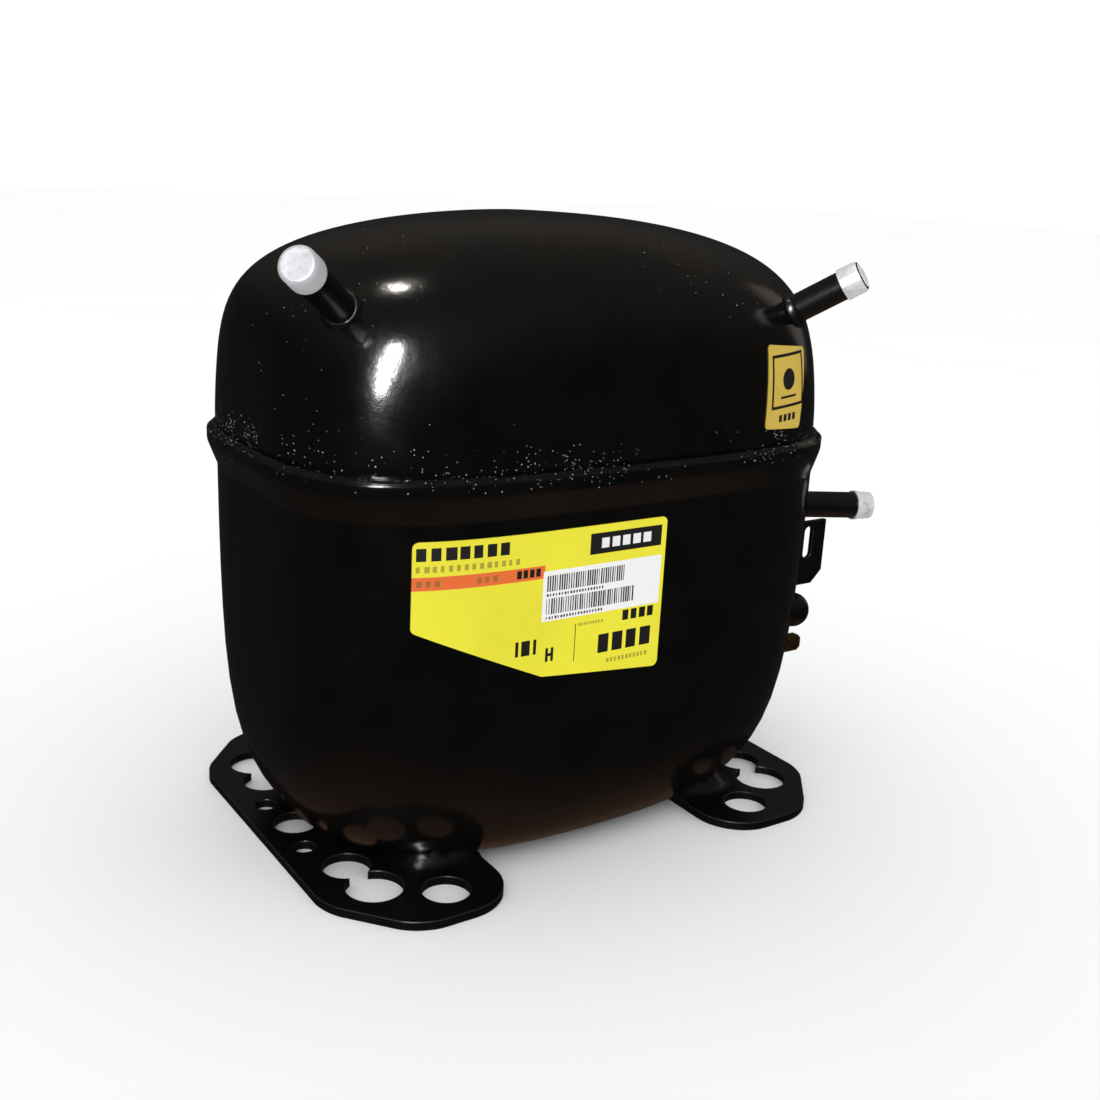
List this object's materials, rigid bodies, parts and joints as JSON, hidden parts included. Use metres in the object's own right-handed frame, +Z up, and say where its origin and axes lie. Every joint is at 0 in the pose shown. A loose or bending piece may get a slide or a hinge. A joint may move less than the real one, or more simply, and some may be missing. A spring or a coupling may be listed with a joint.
{
  "type": "hermetic reciprocating compressor",
  "caption": "Welded steel compressor can on two slotted base feet, with capped pipe connectors and a sprung motor, crank and scotch yoke piston inside.",
  "frame": {"origin": "middle of the underside of the two base feet, which is the centre of the 170 by 70 mm hole pattern", "axes": "+Z up, +X towards the electrical terminal, -Y towards the rating label"},
  "size_m": [0.2514, 0.1566, 0.211],
  "materials": {
    "shell_paint": "gloss",
    "bracket_paint": "satin",
    "cap_aluminium": "satin",
    "cap_coated": "gloss",
    "plain_steel": "satin",
    "glass_seal": "gloss",
    "pin_steel": "satin",
    "brass": "satin",
    "label_yellow": "satin",
    "spring_steel": "satin",
    "white_plastic": "matte",
    "lead_insulation": "matte",
    "lamination_steel": "matte",
    "enamelled_copper": "gloss",
    "cage_aluminium": "cast",
    "block_iron": "cast",
    "bearing_bronze": "satin",
    "gasket": "matte",
    "machined_steel": "ground"
  },
  "bodies": {
    "housing": {"lower_shell": "shell_paint", "upper_shell": "shell_paint", "seam_weld": "shell_paint", "base_foot_left": "shell_paint", "base_foot_right": "shell_paint", "suction_connector": "shell_paint", "process_connector": "shell_paint", "discharge_connector": "shell_paint", "suction_braze_ring": "shell_paint", "process_braze_ring": "shell_paint", "discharge_braze_ring": "shell_paint", "terminal_body": "plain_steel", "terminal_glass": "glass_seal", "terminal_pins": "pin_steel", "terminal_bracket": "bracket_paint", "earth_boss": "shell_paint", "earth_tab": "brass", "rating_label": "label_yellow", "side_label": "label_yellow", "spring_seats": "plain_steel", "suspension_springs": "spring_steel", "terminal_plug": "white_plastic", "motor_leads": "lead_insulation", "shock_loop": "plain_steel"},
    "pump_unit": {"stator_core": "lamination_steel", "stator_windings": "enamelled_copper", "stator_bolts": "pin_steel", "spring_pegs": "white_plastic", "cylinder_block": "block_iron", "main_bush": "bearing_bronze", "thrust_washer": "spring_steel", "cylinder_gasket": "gasket", "suction_reed": "spring_steel", "valve_plate": "spring_steel", "discharge_reed": "spring_steel", "reed_stop": "spring_steel", "head_gasket": "gasket", "cylinder_head": "block_iron", "head_bolts": "pin_steel", "suction_muffler": "white_plastic", "discharge_muffler": "plain_steel", "head_pipe": "plain_steel"},
    "crank": {"crankshaft": "block_iron", "counterweight": "block_iron", "rotor_core": "lamination_steel", "rotor_cage": "cage_aluminium", "oil_pickup": "plain_steel"},
    "slider": {"slider_block": "machined_steel"},
    "bore_plug": {"oil_bore_plug": "machined_steel"},
    "piston_unit": {"yoke_tube": "machined_steel", "piston": "machined_steel"},
    "suction_cap_body": {"suction_cap": "cap_aluminium"},
    "process_cap_body": {"process_cap": "cap_aluminium"},
    "discharge_cap_body": {"discharge_cap": "cap_coated"}
  },
  "joints": [
    {"name": "unit_bounce", "type": "slide", "parent": "housing", "child": "pump_unit", "axis": [0, 0, 1], "range_m": [-0.003, 0.003], "stiffness_N_per_m": 30000, "springref_m": 0.0028, "deforming": ["suspension_springs", "shock_loop", "motor_leads"]},
    {"name": "crank_spin", "type": "hinge", "parent": "pump_unit", "child": "crank", "pos_m": [0, 0, 0.12], "axis": [0, 0, 1], "continuous": true},
    {"name": "slider_turn", "type": "hinge", "parent": "crank", "child": "slider", "pos_m": [0, 0.009, 0.158], "axis": [0, 0, 1], "continuous": true},
    {"name": "plug_turn", "type": "hinge", "parent": "crank", "child": "bore_plug", "pos_m": [0, 0.0045, 0.158], "axis": [0, 0, 1], "continuous": true},
    {"name": "piston_travel", "type": "hinge", "parent": "bore_plug", "child": "piston_unit", "pos_m": [0, 0, 0.158], "axis": [0, 0, 1], "continuous": true},
    {"name": "suction_cap_pull", "type": "slide", "parent": "housing", "child": "suction_cap_body", "axis": [-0.6392, -0.6592, 0.3961], "range_m": [0, 0.026]},
    {"name": "process_cap_pull", "type": "slide", "parent": "housing", "child": "process_cap_body", "axis": [0.513, -0.68, 0.524], "range_m": [0, 0.026]},
    {"name": "discharge_cap_pull", "type": "slide", "parent": "housing", "child": "discharge_cap_body", "axis": [0.9528, -0.3009, -0.041], "range_m": [0, 0.026]}
  ],
  "couplings": [
    {"joint": "slider_turn", "follows": "crank_spin", "ratio": -1},
    {"joint": "plug_turn", "follows": "crank_spin", "ratio": -2},
    {"joint": "piston_travel", "follows": "crank_spin", "ratio": 1}
  ]
}
